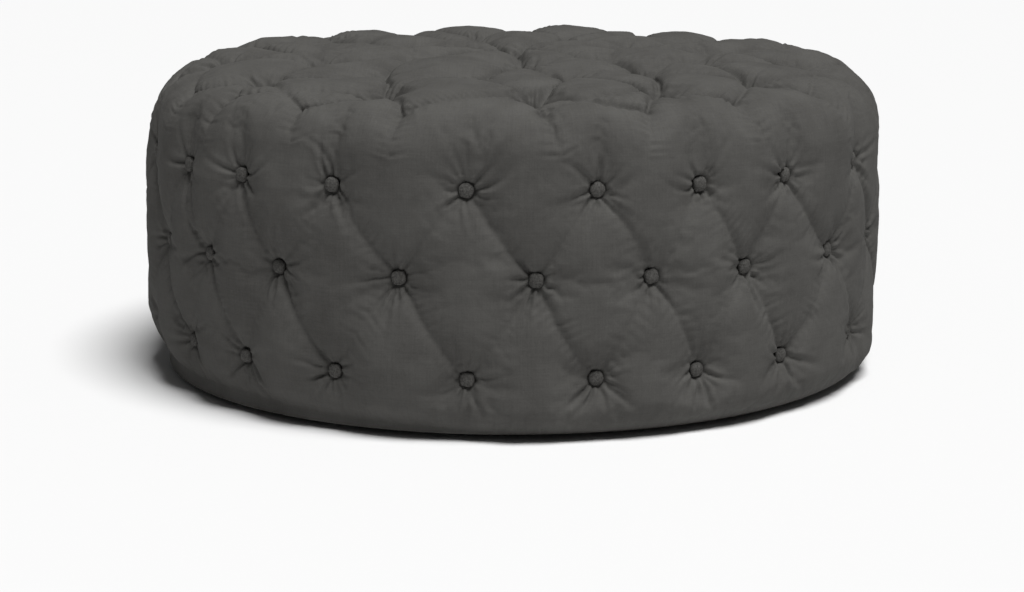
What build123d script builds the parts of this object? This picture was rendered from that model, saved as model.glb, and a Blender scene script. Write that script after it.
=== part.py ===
from build123d import *
import math
import os

# Round button-tufted ottoman coffee table, millimetres, +Z up, the floor at z = 0.
# The origin is the middle of its footprint, and the side that the photograph shows faces -Y.

# Whole size and the layers from the outside in
overall_diameter = 1016.0
overall_height = 431.8
top_padding = 99.8
side_padding = 46.0
side_foam_thickness = 20.0
top_foam_thickness = 40.0
foam_bevel = 26.0
liner_thickness = 4.0
board_thickness = 15.0
base_ring_width = 80.0
hem_thickness = 2.0
hem_width = 60.0
dust_cover_thickness = 1.0
dust_cover_margin = 12.0
fit_clearance = 0.3
cut_overrun = 1.0
flatness = 1e-6

# Tufting of the side: three staggered rows of buttons, the lower two as shares of the upper one
side_columns = 21
upper_row_drop = 9.0
middle_row_share = 0.65
lower_row_share = 0.256
side_tuft_depth = 19.0
side_crease_rise = 8.0
seat_width = 22.0

# Tufting of the top: three rings of buttons round a middle one, as shares of the outer ring
top_columns = 14
outer_ring_inset = 113.0
middle_ring_share = 0.696
inner_ring_share = 0.392
hollow_ring_share = 0.2
centre_seat_radius = 12.0
top_tuft_depth = 52.0
top_crease_rise = 15.0

# Outline of the padded drum above and below the rows, measured in from its full size
hem_inset = 17.0
hem_roll_height = 26.0
skirt_share = 0.66
waist_drop = 92.0
shoulder_insets = (11.0, 34.0, 66.0)
shoulder_drops = (57.0, 25.0, 8.0)
shoulder_fold_depth = 5.0
rim_fold_depth = 12.0

# Frame
post_count = 8
post_width = 44.0
post_depth = 28.0
tenon_width = 30.0
tenon_depth = 12.0
panel_gap = 0.6
posts_per_panel = 2
glide_diameter = 30.0
glide_height = 5.0
glide_sides = 12

# Buttons, and the ties and toggles of the top
button_sides = 6
button_diameter = 20.0
button_back_diameter = 7.0
button_front_diameter = 13.0
button_dome = 4.5
side_back_lift = 1.6
side_back_taper = 2.8
top_back_lift = 4.0
top_back_taper = 7.0
tie_width = 1.6
tie_hole_width = 2.4
board_hole_width = 5.0
toggle_length = 20.0
toggle_width = 6.0
toggle_thickness = 5.0

# Steps between button columns as shares of an even pitch, from the front left; the rest are even
side_first_angle = -56.5
side_pitch_shares = (0.81, 0.97, 1.15, 1.056, 0.898, 0.928, 1.18)
top_first_angle = -53.0
top_pitch_shares = (1.13, 1.09, 0.9, 0.9, 0.9)

# Places of the side's middle buttons as shares of the way between two columns, the rest midway
side_middle_shares = (0.42, 0.43, 0.51, 0.53, 0.52, 0.51, 0.57)

# Sections between two rows, where 0 is on one row and 1 on the next
gap_shares = (1 / 3, 2 / 3)
waist_spread_share = 0.15
waist_depth_share = 0.6
rim_spread_share = 0.3
midway_share = 1 / 2
lines_per_arch = 3
pillow_power = 0.7
flank_share = 0.35
shelf_share = 0.8
flank_bulge_share = 0.06
hollow_share = 0.5

full_turn = 360.0
outer_radius = overall_diameter / 2
deck_top = overall_height - top_padding
deck_bottom = deck_top - board_thickness
hem_bottom = glide_height + dust_cover_thickness
base_bottom = hem_bottom + hem_thickness
base_top = base_bottom + board_thickness
liner_outer = outer_radius - side_padding
liner_inner = liner_outer - liner_thickness
board_radius = liner_inner - fit_clearance
foam_inner = liner_outer + fit_clearance
foam_outer = foam_inner + side_foam_thickness
foam_top = deck_top + top_foam_thickness
side_seat_radius = outer_radius - side_tuft_depth
top_seat_height = overall_height - top_tuft_depth
outer_ring_radius = outer_radius - outer_ring_inset
middle_ring_radius = outer_ring_radius * middle_ring_share
inner_ring_radius = outer_ring_radius * inner_ring_share
hollow_radius = outer_ring_radius * hollow_ring_share
upper_row = deck_bottom - upper_row_drop
middle_row = upper_row * middle_row_share
lower_row = upper_row * lower_row_share
skirt_height = lower_row * skirt_share
rows = {"upper": upper_row, "middle": middle_row, "lower": lower_row}


def column_angles(first, shares, count):
    """Angles of the columns once round, the last one a full turn past the first."""
    pitch = full_turn / count
    rest = (full_turn - pitch * sum(shares)) / (count - len(shares))
    angles = [first]
    for step in [pitch * share for share in shares] + [rest] * (count - len(shares)):
        angles.append(angles[-1] + step)
    return angles


def middles(angles, shares=()):
    """An angle between each two neighbours, at the given shares of the way and midway past them."""
    rest = (midway_share,) * (len(angles) - 1 - len(shares))
    return [a + (b - a) * share for a, b, share in zip(angles, angles[1:], shares + rest)]


side_angles = column_angles(side_first_angle, side_pitch_shares, side_columns)
side_middles = middles(side_angles, side_middle_shares)
top_angles = column_angles(top_first_angle, top_pitch_shares, top_columns)
top_middles = middles(top_angles)


def at(radius, angle, height):
    """A point by its angle from the front, which grows towards +X."""
    turn = math.radians(angle)
    return Vector(radius * math.sin(turn), -radius * math.cos(turn), height)


def puff(share):
    """Rise of a pillow away from its crease, quick at first and level at its crown."""
    return math.sin(math.pi / 2 * share) ** pillow_power


def crease(share):
    """Rise of a crease between its two buttons, none at either button."""
    return math.sin(math.pi * share)


def seat_angle(radius):
    return math.degrees(seat_width / 2 / radius)


def pillow_ring(angles, places, crowns):
    """Points of a closed section whose pillows arch from each corner over a crown to the next.

    Corners have an angle and a (radius, height) place, and crowns a place midway in angle.
    Each arch is an arc that is cut into a few short lines.
    """
    corners = [at(radius, angle, height) for angle, (radius, height) in zip(angles, places)]
    corners.append(corners[0])
    ends = angles[1:] + [angles[0] + full_turn]
    points = []
    for index, (radius, height) in enumerate(crowns):
        crown = at(radius, (angles[index] + ends[index]) / 2, height)
        start, end = corners[index], corners[index + 1]
        if ((start + end) / 2 - crown).length < fit_clearance:
            arch = Edge.make_line(start, end)
        else:
            arch = Edge.make_three_point_arc(start, crown, end)
        points += [arch @ (step / lines_per_arch) for step in range(lines_per_arch)]
    return points


def panel_ends(columns, column_middles, spread, seat):
    """Both ends of each column's panel: at its own button at 0, at the next buttons at 1."""
    ends = []
    for index, middle in enumerate(column_middles):
        before = column_middles[index - 1] - (full_turn if index == 0 else 0)
        column = columns[index]
        ends.append(
            (
                column - seat - spread * (column - before - 2 * seat),
                column + seat + spread * (middle - column - 2 * seat),
            )
        )
    return ends


def side_ring(height, spread, depth=side_tuft_depth):
    """A section of the tufted side; spread is 0 on the outer rows and 1 on the middle row."""
    seat_radius = outer_radius - depth
    panels = panel_ends(side_angles, side_middles, spread, seat_angle(side_seat_radius))
    angles = [angle for panel in panels for angle in panel]
    crease_radius = seat_radius + side_crease_rise * crease(spread)
    column_radius = seat_radius + depth * puff(spread)
    between_radius = seat_radius + depth * puff(1 - spread)
    crowns = [(column_radius, height), (between_radius, height)] * side_columns
    return pillow_ring(angles, [(crease_radius, height)] * len(angles), crowns)


def round_ring(radius, height, turn_share, fold_depth):
    """A fluted section, whose corners go from the side's columns at 0 to the top's at 1."""
    side_panels = panel_ends(side_angles, side_middles, midway_share, 0)
    top_panels = panel_ends(top_angles, top_middles, midway_share, 0)
    from_side = [angle for panel in side_panels for angle in panel]
    from_top = []
    for panel, middle in zip(top_panels, top_middles):
        from_top += [*panel, middle]
    angles = [a + (b - a) * turn_share for a, b in zip(from_side, from_top)]
    corners = [(radius - fold_depth, height)] * len(angles)
    return pillow_ring(angles, corners, [(radius, height)] * len(angles))


def top_places(radius, rises, height=overall_height, depth=top_tuft_depth):
    """Places on the top from rises that go from 0 in a tuft to 1 on a crown."""
    return [(radius, height - depth * (1 - rise)) for rise in rises]


def top_ring(radius, spread, height=overall_height, depth=top_tuft_depth):
    """A section of the top; spread is 0 on the outer ring of buttons and 1 on the middle one."""
    panels = panel_ends(top_angles, top_middles, spread, seat_angle(radius))
    low = top_crease_rise / top_tuft_depth * crease(spread)
    between = puff(1 - spread)
    flank = low + (between - low) * puff(midway_share)
    angles = []
    for panel, middle in zip(panels, top_middles):
        angles += [*panel, middle]
    rises = [low, low, between] * top_columns
    crowns = [puff(spread), flank, flank] * top_columns
    return pillow_ring(
        angles,
        top_places(radius, rises, height, depth),
        top_places(radius, crowns, height, depth),
    )


def inner_corners():
    """Angles and rises on the inner ring, which has a button on every other column."""
    seat = seat_angle(inner_ring_radius)
    angles = []
    rises = []
    for index in range(top_columns):
        column = top_angles[index]
        step = top_angles[index + 1] - column - seat
        step_before = column - top_angles[index - 1] + (full_turn if index == 0 else 0) - seat
        if index % 2 == 0:
            angles += [column - seat, column + seat, column + seat + flank_share * step]
            rises += [0, 0, puff(flank_share)]
        else:
            shelf = 1 - shelf_share
            angles += [column - shelf * step_before, column + shelf * step]
            angles.append(column + (1 - flank_share) * step)
            rises += [puff(shelf_share), puff(shelf_share), puff(flank_share)]
    return angles, rises


def inner_crowns(rises, on_button, off_button):
    """Crown rises: given on both kinds of column, and a slight bulge on the flanks."""
    crowns = []
    for index, rise in enumerate(rises):
        following = rises[(index + 1) % len(rises)]
        if index % 3:
            crowns.append((rise + following) / 2 + flank_bulge_share * max(rise, following))
        else:
            crowns.append(off_button if index % 2 else on_button)
    return crowns


def inner_ring(radius, spread):
    """A section of the top; spread is 0 on the inner ring of buttons and 1 on the middle one."""
    near_angles, near_rises = inner_corners()
    panels = panel_ends(top_angles, top_middles, 1, seat_angle(middle_ring_radius))
    far_angles = []
    for panel, middle in zip(panels, top_middles):
        far_angles += [*panel, middle]
    angles = [a + (b - a) * spread for a, b in zip(near_angles, far_angles)]
    low = top_crease_rise / top_tuft_depth * crease(spread)
    rises = [max(rise * puff(1 - spread), low) for rise in near_rises]
    crowns = inner_crowns(rises, puff(spread), 1)
    return pillow_ring(angles, top_places(radius, rises), top_places(radius, crowns))


def centre_ring(radius, share):
    """A section of the top; share is 0 on the middle button's seat and 1 on the inner ring."""
    near_angles, near_rises = inner_corners()
    step = full_turn / len(near_angles)
    even_angles = [near_angles[0] + step * index for index in range(len(near_angles))]
    angles = [a + (b - a) * share for a, b in zip(even_angles, near_angles)]
    low = top_crease_rise / top_tuft_depth * crease(share)
    rises = [max(rise * puff(share), low) for rise in near_rises]
    crowns = inner_crowns(rises, low, puff(share))
    return pillow_ring(angles, top_places(radius, rises), top_places(radius, crowns))


def between(start, end, share):
    return start + (end - start) * share


def turned(points):
    """A solid of revolution round the Z axis from a closed outline of (radius, height)."""
    outline = make_face(Polyline([(radius, 0, height) for radius, height in points], close=True))
    return revolve(outline, Axis.Z)


def tie_places():
    """(radius, angle) of each button of the top, ring by ring."""
    return {
        "outer": [(outer_ring_radius, angle) for angle in top_angles[:-1]],
        "middle": [(middle_ring_radius, angle) for angle in top_middles],
        "inner": [(inner_ring_radius, angle) for angle in top_angles[:-1:2]],
        "centre": [(0, 0)],
    }


def tie_rods(width, bottom, top):
    """Square rods at all the places of the top's ties."""
    rods = []
    for places in tie_places().values():
        for radius, angle in places:
            foot = at(radius, angle, bottom)
            turn = Rotation(0, 0, angle)
            rod = Box(width, width, top - bottom, align=(Align.CENTER, Align.CENTER, Align.MIN))
            rods.append(Pos(foot) * turn * rod)
    return rods


def flat_face(*points):
    return Face(Wire.make_polygon(points, close=True))


def outwards(point):
    """Grows with the distance from the middle of the drum, over its side and over its top."""
    return math.hypot(point.X, point.Y) + point.Z


def ruled_band(lower, upper):
    """Flat faces between two sections; a twisted one is split along its outer diagonal."""
    faces = []
    for index, (a, c) in enumerate(zip(lower, upper)):
        following = (index + 1) % len(lower)
        b, d = lower[following], upper[following]
        twist = abs((b - a).cross(c - a).dot(d - a))
        if twist < flatness:
            faces.append(flat_face(a, b, d, c))
        elif outwards((a + d) / 2) > outwards((b + c) / 2):
            faces += [flat_face(a, b, d), flat_face(a, d, c)]
        else:
            faces += [flat_face(a, b, c), flat_face(b, d, c)]
    return faces


def loft_of(rings):
    """A closed solid through all the sections, flat at both ends."""
    faces = [flat_face(*rings[0]), flat_face(*rings[-1])]
    for lower, upper in zip(rings, rings[1:]):
        faces += ruled_band(lower, upper)
    return Solid(Shell(faces))


def tufted_cover():
    """The fabric with its quilted filling, from the hem over the shoulder to the middle tuft."""
    rings = [
        round_ring(outer_radius - hem_inset, hem_bottom, 0, 0),
        round_ring(outer_radius, hem_roll_height, 0, 0),
        side_ring(skirt_height, gap_shares[0]),
        side_ring(lower_row, 0),
    ]
    rings += [side_ring(between(lower_row, middle_row, share), share) for share in gap_shares]
    rings.append(side_ring(middle_row, 1))
    rings += [side_ring(between(middle_row, upper_row, share), 1 - share) for share in gap_shares]
    rings.append(side_ring(upper_row, 0))
    waist_depth = side_tuft_depth * waist_depth_share
    rings.append(side_ring(overall_height - waist_drop, waist_spread_share, waist_depth))
    for index, (inset, drop) in enumerate(zip(shoulder_insets, shoulder_drops)):
        radius = outer_radius - inset
        height = overall_height - drop
        if index + 1 < len(shoulder_insets):
            turn_share = (index + 1) / len(shoulder_insets)
            rings.append(round_ring(radius, height, turn_share, shoulder_fold_depth))
        else:
            rings.append(top_ring(radius, rim_spread_share, height, rim_fold_depth))
    rings.append(top_ring(outer_ring_radius, 0))
    for share in gap_shares:
        rings.append(top_ring(between(outer_ring_radius, middle_ring_radius, share), share))
    rings.append(top_ring(middle_ring_radius, 1))
    for share in gap_shares:
        rings.append(inner_ring(between(middle_ring_radius, inner_ring_radius, share), 1 - share))
    rings.append(inner_ring(inner_ring_radius, 0))
    rings.append(centre_ring(hollow_radius, hollow_share))
    rings.append(centre_ring(centre_seat_radius, 0))
    padding = loft_of(rings)
    wall = foam_outer + fit_clearance
    ceiling = foam_top + fit_clearance
    opening = board_radius - hem_width
    cavity = turned(
        [
            (0, hem_bottom - cut_overrun),
            (opening, hem_bottom - cut_overrun),
            (opening, base_bottom),
            (wall, base_bottom),
            (wall, ceiling - foam_bevel),
            (wall - foam_bevel, ceiling),
            (0, ceiling),
        ]
    )
    holes = tie_rods(tie_hole_width, foam_top - cut_overrun, top_seat_height + top_tuft_depth)
    return padding - cavity - holes


def side_foam():
    return turned(
        [
            (foam_inner, base_bottom),
            (foam_outer, base_bottom),
            (foam_outer, deck_top),
            (foam_inner, deck_top),
        ]
    )


def top_foam():
    foam = turned(
        [
            (0, deck_top),
            (foam_outer, deck_top),
            (foam_outer, foam_top - foam_bevel),
            (foam_outer - foam_bevel, foam_top),
            (0, foam_top),
        ]
    )
    return foam - tie_rods(tie_hole_width, deck_top - cut_overrun, foam_top + cut_overrun)


def post_angles():
    """Each post stands a quarter of a pitch past a column, clear of every row's buttons."""
    angles = []
    for index in range(post_count):
        column = round(index * side_columns / post_count)
        angles.append((side_angles[column] + side_middles[column]) / 2)
    return angles


def post_frame(angle):
    """A frame at a post's middle on the floor, with x outwards."""
    face = math.sqrt(board_radius**2 - (post_width / 2) ** 2)
    return Pos(at(face - post_depth / 2, angle, 0)) * Rotation(0, 0, angle - full_turn / 4)


def tenon_block(angle, bottom, top, play):
    block = Box(
        tenon_depth + 2 * play,
        tenon_width + 2 * play,
        top - bottom,
        align=(Align.CENTER, Align.CENTER, Align.MIN),
    )
    return post_frame(angle) * Pos(0, 0, bottom) * block


def post(angle):
    """An upright with a tenon at each end, flush with the faces of both boards."""
    body = Box(
        post_depth,
        post_width,
        deck_bottom - base_top,
        align=(Align.CENTER, Align.CENTER, Align.MIN),
    )
    return post_frame(angle) * Pos(0, 0, base_top) * body + tenon_block(angle, base_bottom, deck_top, 0)


def mortises(bottom, top):
    return [
        tenon_block(angle, bottom - cut_overrun, top + cut_overrun, fit_clearance)
        for angle in post_angles()
    ]


def base_ring():
    inside = board_radius - base_ring_width
    ring = turned(
        [(inside, base_bottom), (board_radius, base_bottom), (board_radius, base_top), (inside, base_top)]
    )
    return ring - mortises(base_bottom, base_top)


def deck_board():
    board = Pos(0, 0, deck_bottom) * Cylinder(
        board_radius, board_thickness, align=(Align.CENTER, Align.CENTER, Align.MIN)
    )
    board -= mortises(deck_bottom, deck_top)
    return board - tie_rods(board_hole_width, deck_bottom - cut_overrun, deck_top + cut_overrun)


def liner_panel(index):
    """A bent panel from the middle of one post to the middle of another."""
    angles = post_angles()
    start = angles[index * posts_per_panel]
    stop_index = (index + 1) * posts_per_panel
    stop = angles[stop_index] if stop_index < post_count else angles[0] + full_turn
    gap = math.degrees(panel_gap / liner_outer)
    section = make_face(
        Polyline(
            [
                (liner_inner, 0, base_bottom),
                (liner_outer, 0, base_bottom),
                (liner_outer, 0, deck_top),
                (liner_inner, 0, deck_top),
            ],
            close=True,
        )
    )
    panel = revolve(section, Axis.Z, revolution_arc=stop - start - gap)
    return Rotation(0, 0, start + gap / 2 - full_turn / 4) * panel


def regular_ring(diameter, height):
    step = full_turn / button_sides
    return [at(diameter / 2, step * index, height) for index in range(button_sides)]


def button(lift, taper):
    """A covered button on its seat: a back that tapers into the tuft and a low domed front."""
    rim_height = lift + taper
    sections = [
        regular_ring(button_back_diameter, lift),
        regular_ring(button_diameter, rim_height),
        regular_ring(button_front_diameter, rim_height + button_dome),
    ]
    return loft_of(sections)


def side_buttons(height, angles):
    shape = button(side_back_lift, side_back_taper)
    placed = []
    for angle in angles:
        facing = at(side_seat_radius, angle, 0)
        seat = Plane(origin=at(side_seat_radius, angle, height), x_dir=(0, 0, 1), z_dir=facing)
        placed.append(seat.location * shape)
    return placed


def top_buttons(places):
    shape = button(top_back_lift, top_back_taper)
    return [Pos(at(radius, angle, top_seat_height)) * shape for radius, angle in places]


def ties(places):
    """Twines from the toggles under the deck up to the backs of the buttons."""
    length = top_seat_height + top_back_lift - deck_bottom
    twine = Box(tie_width, tie_width, length, align=(Align.CENTER, Align.CENTER, Align.MIN))
    return [
        Pos(at(radius, angle, deck_bottom)) * Rotation(0, 0, angle) * twine for radius, angle in places
    ]


def toggles(places):
    """Bars under the deck board that the twines pull against."""
    bar = Box(
        toggle_length, toggle_width, toggle_thickness, align=(Align.CENTER, Align.CENTER, Align.MAX)
    )
    return [Pos(at(radius, angle, deck_bottom)) * Rotation(0, 0, angle) * bar for radius, angle in places]


def dust_cover():
    return Pos(0, 0, glide_height) * Cylinder(
        board_radius - dust_cover_margin,
        dust_cover_thickness,
        align=(Align.CENTER, Align.CENTER, Align.MIN),
    )


def glides():
    """Low twelve-sided feet under the base ring, midway between the posts."""
    foot = extrude(RegularPolygon(glide_diameter / 2, glide_sides), glide_height)
    angles = post_angles()
    angles.append(angles[0] + full_turn)
    radius = board_radius - base_ring_width / 2
    return [Pos(at(radius, angle, 0)) * foot for angle in middles(angles)]


def write(name, shapes):
    group = shapes if isinstance(shapes, list) else [shapes]
    solids = [solid for shape in group for solid in shape.solids()]
    export_step(Compound(children=solids) if len(solids) > 1 else solids[0], f"parts/{name}.step")


os.makedirs("parts", exist_ok=True)
write("tufted_cover", tufted_cover())
write("side_foam", side_foam())
write("top_foam", top_foam())
write("deck_board", deck_board())
write("base_ring", base_ring())
for number, angle in enumerate(post_angles(), 1):
    write(f"post_{number}", post(angle))
for number in range(post_count // posts_per_panel):
    write(f"liner_panel_{number + 1}", liner_panel(number))
for name, height in rows.items():
    angles = side_middles if name == "middle" else side_angles[:-1]
    write(f"side_buttons_{name}_row", side_buttons(height, angles))
for name, places in tie_places().items():
    write(f"top_buttons_{name}", top_buttons(places))
    write(f"button_ties_{name}", ties(places))
    write(f"tie_toggles_{name}", toggles(places))
write("dust_cover", dust_cover())
write("glides", glides())
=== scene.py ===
import math

import bmesh
import bpy
import numpy as np
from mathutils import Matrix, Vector, noise


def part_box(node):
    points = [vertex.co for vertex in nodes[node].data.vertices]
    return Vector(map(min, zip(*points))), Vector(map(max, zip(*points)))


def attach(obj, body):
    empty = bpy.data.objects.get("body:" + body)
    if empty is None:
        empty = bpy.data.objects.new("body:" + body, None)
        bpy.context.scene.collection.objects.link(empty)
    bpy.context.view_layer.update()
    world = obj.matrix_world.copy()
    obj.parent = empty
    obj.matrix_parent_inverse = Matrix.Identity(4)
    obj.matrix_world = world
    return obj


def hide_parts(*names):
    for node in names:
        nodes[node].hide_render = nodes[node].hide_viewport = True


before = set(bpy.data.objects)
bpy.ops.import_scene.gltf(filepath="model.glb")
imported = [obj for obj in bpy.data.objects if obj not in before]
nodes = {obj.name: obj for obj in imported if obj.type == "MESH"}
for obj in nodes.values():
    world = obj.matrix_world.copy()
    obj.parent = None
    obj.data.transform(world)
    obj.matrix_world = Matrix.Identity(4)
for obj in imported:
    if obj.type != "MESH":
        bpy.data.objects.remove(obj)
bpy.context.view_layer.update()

# Round button-tufted ottoman coffee table, metres, in the frame of the CAD model
rng = np.random.default_rng(17)
whole_turn = 2 * math.pi

# The padded drum's smooth envelope, which its crowns touch
drum_radius = 0.508
drum_top = 0.4318
top_dome = 0.0075
hem_height = 0.0062
hem_inner = 0.3977
hem_corner = 0.476
roll_height = 0.05
shoulder_centre = (0.366, 0.3458)
shoulder_size = (0.142, 0.086)
shoulder_power = 2.3

# Cells of the fine cover and of its coarser copy
cells_around = 1280
cell_height = 0.0026
trial_cells_around = 576
trial_cell_height = 0.0054
hem_cell = 0.008

# Inside of the cover, just clear of the frame and the foam
hem_top = 0.008
inner_wall = 0.4826
inner_bevel_foot = 0.3463
inner_bevel_radius = 0.4566
inner_ceiling = 0.3723
foam_clearance = 0.0009


def share_above(values, start, span):
    """0 up to the start, then rising to 1 over the span."""
    return np.clip((values - start) / span, 0, 1)


def share_below(values, end, span):
    """1 until a span below the end, then falling to 0 there."""
    return np.clip((end - values) / span, 0, 1)


def top_share_of(heights):
    """0 on the side, rising to 1 over the shoulder."""
    return share_above(heights, 0.36, 0.07)


def hump(distance, width, power=2):
    """1 at no distance, falling away over the width."""
    return np.exp(-((distance / width) ** power))


def wrapped(angle):
    """An angle brought within half a turn of 0."""
    return (angle + math.pi) % whole_turn - math.pi


def turn_of(point):
    """Angle of a point round the drum, from -Y toward +X."""
    return math.atan2(point[0], -point[1])


def round_axis(turn, radius, height):
    """Points at an angle round the drum, a distance from its axis and a height."""
    return np.stack([radius * np.sin(turn), -radius * np.cos(turn), height + 0 * turn], -1)


def superellipse(turn, centre, size, power):
    axes = zip(centre, size, (math.cos(turn), math.sin(turn)))
    return tuple(c + half * math.copysign(abs(v) ** (2 / power), v) for c, half, v in axes)


def shoulder_point(turn):
    return superellipse(turn, shoulder_centre, shoulder_size, shoulder_power)


def roll_point(turn):
    size = (drum_radius - hem_corner, roll_height - hem_height)
    return superellipse(turn, (hem_corner, roll_height), size, 2)


def runs_of(points):
    """Distance along an outline at each of its points."""
    return np.concatenate([[0], np.cumsum(np.linalg.norm(np.diff(points, axis=0), axis=1))])


def resample(points, spacing):
    """Evenly spaced points along a fine outline, both ends kept."""
    points = np.array(points)
    run = runs_of(points)
    at = np.linspace(0, run[-1], max(2, int(round(run[-1] / spacing)) + 1))
    return np.stack([np.interp(at, run, points[:, 0]), np.interp(at, run, points[:, 1])], 1)


# The outline as (radius, height), from the hem up and over to the top's disc
quarter = np.linspace(0, math.pi / 2, 200)
hem = [(hem_inner, hem_height), (hem_corner, hem_height)]
outline = [roll_point(-math.pi / 2 + turn) for turn in quarter]
outline += [shoulder_point(turn) for turn in quarter]
profile = np.concatenate([resample(hem, hem_cell)[:-1], resample(outline, cell_height)])
profile_run = runs_of(profile)
disc_run = profile_run[-1]
disc_radius = profile[-1, 0]
hem_run = hem_corner - hem_inner
trial_count = int((disc_run - hem_run) / trial_cell_height)
trial_rings = np.concatenate(
    [np.arange(0, hem_run - hem_cell / 2, hem_cell), np.linspace(hem_run, disc_run, trial_count)]
)


def dome_rise(radius):
    """Rise of the top's crowns towards its middle."""
    return top_dome * np.clip(1 - (radius / disc_radius) ** 2, 0, 1) ** 2


def outward(line):
    """Outward normals along the outline."""
    step = np.gradient(line, axis=0)
    normal = np.stack([step[:, 1], -step[:, 0]], 1)
    normal[-1] = (0, 1)
    return normal / np.linalg.norm(normal, axis=1)[:, None]


profile_out = outward(profile)


def radius_at(run):
    """The smooth drum's radius at a run along its outline."""
    below_disc = np.interp(run, profile_run, profile[:, 0])
    return np.where(run > disc_run, disc_radius - (run - disc_run), below_disc)


def on_envelope(turn, run):
    """Points and outward normals of the smooth drum at angles and runs."""
    on_disc = run > disc_run
    radius = radius_at(run)
    height = np.interp(run, profile_run, profile[:, 1]) + np.where(on_disc, dome_rise(radius), 0)
    out_r = np.where(on_disc, 0, np.interp(run, profile_run, profile_out[:, 0]))
    out_z = np.where(on_disc, 1, np.interp(run, profile_run, profile_out[:, 1]))
    return round_axis(turn, radius, height), round_axis(turn, out_r, out_z)


def drum_grid(cells, rings):
    """Angle and run of every point of an even grid over the whole cover, and its quads."""
    turn = whole_turn * np.arange(cells) / cells
    index = np.arange(len(rings) * cells).reshape(len(rings), cells)
    following = np.roll(index, -1, axis=1)
    quads = np.stack([index[:-1], following[:-1], following[1:], index[1:]], 2).reshape(-1, 4)
    turns = np.broadcast_to(turn, index.shape).ravel()
    runs = np.broadcast_to(rings[:, None], index.shape).ravel()

    # The top is a square grid bent into a disc, so that no cells crowd at its middle
    grid = np.linspace(-1, 1, cells // 4 + 1)
    a, b = np.meshgrid(grid, grid, indexing="ij")
    wide = np.abs(a) >= np.abs(b)
    safe_a = np.where(a == 0, 1, a)
    safe_b = np.where(b == 0, 1, b)
    angle = np.where(wide, math.pi / 4 * b / safe_a, math.pi / 2 - math.pi / 4 * a / safe_b)
    signed = np.where(wide, a, b)
    x = signed * np.cos(angle) * disc_radius
    y = signed * np.sin(angle) * disc_radius
    rim = np.maximum(np.abs(a), np.abs(b)) > 1 - 1e-9
    disc_index = np.full(a.shape, -1)
    rim_turn = np.arctan2(x[rim], -y[rim]) % whole_turn
    disc_index[rim] = index[-1][np.round(rim_turn / whole_turn * cells).astype(int) % cells]
    inside = ~rim
    disc_index[inside] = index.size + np.arange(inside.sum())
    disc_quads = np.stack(
        [disc_index[:-1, :-1], disc_index[1:, :-1], disc_index[1:, 1:], disc_index[:-1, 1:]], 2
    ).reshape(-1, 4)
    turns = np.concatenate([turns, np.arctan2(x[inside], -y[inside])])
    runs = np.concatenate([runs, rings[-1] + disc_radius - np.hypot(x[inside], y[inside])])
    return turns, runs, quads, disc_quads, index, disc_index


def loose_parts(node):
    """Middle of each separate solid in a CAD node."""
    mesh = nodes[node].data
    parent = list(range(len(mesh.vertices)))

    def root(v):
        while parent[v] != v:
            parent[v] = parent[parent[v]]
            v = parent[v]
        return v

    places = {}
    for vertex in mesh.vertices:
        key = tuple(round(c, 6) for c in vertex.co)
        if key in places:
            parent[root(vertex.index)] = root(places[key])
        places[key] = vertex.index
    for edge in mesh.edges:
        a, b = root(edge.vertices[0]), root(edge.vertices[1])
        parent[a] = b
    groups = {}
    for vertex in mesh.vertices:
        groups.setdefault(root(vertex.index), []).append(vertex.co[:])
    middles = [(np.min(g, 0) + np.max(g, 0)) / 2 for g in map(np.array, groups.values())]
    return sorted(middles, key=turn_of)


def raised(point):
    """A top button's place moved up to the smooth drum."""
    return np.array([point[0], point[1], drum_top + dome_rise(math.hypot(point[0], point[1]))])


def pushed_out(point):
    """A side button's place moved out to the smooth drum."""
    return round_axis(turn_of(point), drum_radius, point[2])


side_rows = {name: loose_parts(f"side_buttons_{name}_row") for name in ("upper", "middle", "lower")}
top_rings = {name: loose_parts(f"top_buttons_{name}") for name in ("outer", "middle", "inner", "centre")}
side_places = {name: [pushed_out(p) for p in row] for name, row in side_rows.items()}
top_places = {name: [raised(p) for p in ring] for name, ring in top_rings.items()}
all_side = [p for row in side_places.values() for p in row]
all_top = [p for ring in top_places.values() for p in ring]


def nearest_two(place, others):
    return sorted(others, key=lambda other: np.linalg.norm(other - place))[:2]


def to_drum(points):
    """Pushes points between two places out to the envelope of side, shoulder and top."""
    fixed = []
    for x, y, z in points:
        radius = math.hypot(x, y)
        if z <= shoulder_centre[1]:
            scale = drum_radius / radius
            fixed.append((x * scale, y * scale, z))
        elif radius <= shoulder_centre[0]:
            fixed.append((x, y, drum_top + dome_rise(radius)))
        else:
            rise = (z - shoulder_centre[1]) / shoulder_size[1]
            reach = (radius - shoulder_centre[0]) / shoulder_size[0]
            size = (rise**shoulder_power + reach**shoulder_power) ** (1 / shoulder_power)
            r = shoulder_centre[0] + shoulder_size[0] * reach / size
            h = shoulder_centre[1] + shoulder_size[1] * rise / size
            fixed.append((x / radius * r, y / radius * r, h))
    return np.array(fixed)


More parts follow.
